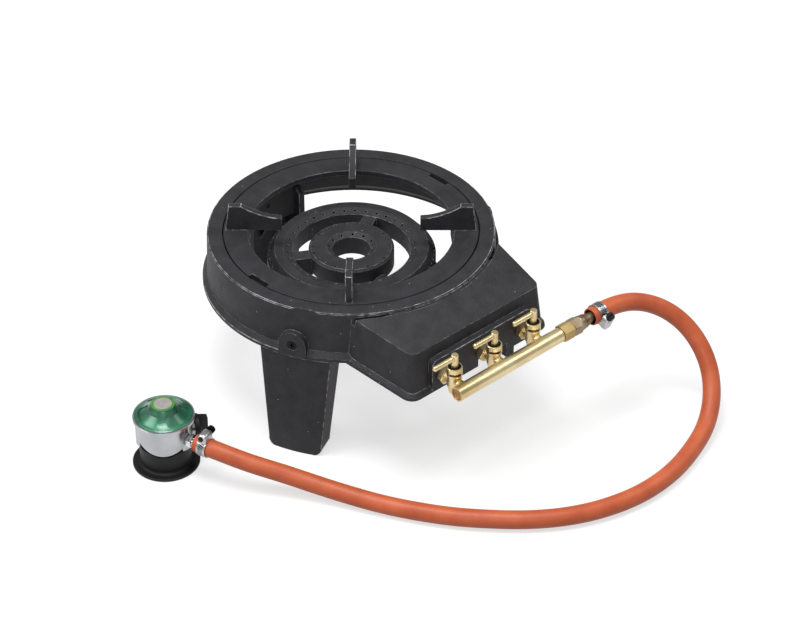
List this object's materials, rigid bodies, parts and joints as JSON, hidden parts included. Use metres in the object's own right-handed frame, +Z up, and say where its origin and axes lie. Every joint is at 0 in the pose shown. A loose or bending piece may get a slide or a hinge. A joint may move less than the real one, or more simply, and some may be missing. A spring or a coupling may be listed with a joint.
{
  "type": "wok burner",
  "caption": "Cast-iron table-top gas ring for a wok, with a drilled two-ring burner, a loose pan support, plug valves on a manifold, and a rubber hose with a clip-on cylinder regulator.",
  "frame": {"origin": "on the table, under the middle of the burner's box without the hose and regulator", "axes": "+Z up, -Y towards the valves and the user, +X along the manifold towards the hose"},
  "size_m": [0.4692, 0.4778, 0.185],
  "materials": {
    "black cast iron": "satin black paint on rough casting",
    "black screw steel": "blackened",
    "brass": "turned",
    "copper": "soldered copper",
    "bronze": "dull bronze",
    "steel": "zinc plated",
    "orange hose rubber": "matt",
    "zinc casting": "as cast",
    "green lacquer": "gloss lacquer",
    "grey label": "plain film",
    "chrome": "bright",
    "black rubber": "matt",
    "black plastic": "satin"
  },
  "bodies": {
    "burner": {"housing": "black cast iron", "burner_head": "black cast iron", "leg_front_left": "black cast iron", "leg_front_right": "black cast iron", "leg_rear": "black cast iron", "leg_screws": "black screw steel", "manifold_tube": "brass", "manifold_end_plug": "copper", "manifold_nut": "brass", "hose_nipple": "bronze", "valve_left_body": "brass", "valve_left_retainer": "black screw steel", "valve_left_lock_nut": "brass", "valve_left_injector": "brass", "valve_middle_body": "brass", "valve_middle_retainer": "black screw steel", "valve_middle_lock_nut": "brass", "valve_middle_injector": "brass", "valve_right_body": "brass", "valve_right_retainer": "black screw steel", "valve_right_lock_nut": "brass", "valve_right_injector": "brass", "hose": "orange hose rubber", "clip_burner_band": "steel", "clip_burner_screw": "steel", "clip_regulator_band": "steel", "clip_regulator_screw": "steel", "regulator_body": "zinc casting", "regulator_cap": "green lacquer", "regulator_label": "grey label", "regulator_nozzle": "chrome", "regulator_seal": "black rubber", "regulator_diaphragm": "black rubber", "regulator_spring": "steel"},
    "valve_left": {"valve_left_plug": "brass", "valve_left_lever": "brass", "valve_left_stop_pin": "brass", "valve_left_spring": "steel"},
    "valve_middle": {"valve_middle_plug": "brass", "valve_middle_lever": "brass", "valve_middle_stop_pin": "brass", "valve_middle_spring": "steel"},
    "valve_right": {"valve_right_plug": "brass", "valve_right_lever": "brass", "valve_right_stop_pin": "brass", "valve_right_spring": "steel"},
    "pan_support": {"pan_support": "black cast iron"},
    "regulator_switch": {"regulator_switch": "black plastic"},
    "locking_ring": {"locking_ring": "black plastic"}
  },
  "joints": [
    {"name": "valve_left_turn", "type": "hinge", "parent": "burner", "child": "valve_left", "pos_m": [-0.0486, -0.156, 0.1395], "axis": [0, 0, 1], "range_deg": [0, 90]},
    {"name": "valve_middle_turn", "type": "hinge", "parent": "burner", "child": "valve_middle", "pos_m": [0, -0.156, 0.1395], "axis": [0, 0, 1], "range_deg": [0, 90]},
    {"name": "valve_right_turn", "type": "hinge", "parent": "burner", "child": "valve_right", "pos_m": [0.0486, -0.156, 0.1395], "axis": [0, 0, 1], "range_deg": [0, 90]},
    {"name": "pan_support_lift", "type": "slide", "parent": "burner", "child": "pan_support", "axis": [0, 0, 1], "range_m": [0, 0.06]},
    {"name": "regulator_switch_turn", "type": "hinge", "parent": "burner", "child": "regulator_switch", "pos_m": [-0.22329, 0.04245, 0.035], "axis": [0.9063, -0.4226, 0], "range_deg": [0, 90]},
    {"name": "locking_ring_lift", "type": "slide", "parent": "burner", "child": "locking_ring", "axis": [0, 0, 1], "range_m": [0, 0.005]}
  ]
}
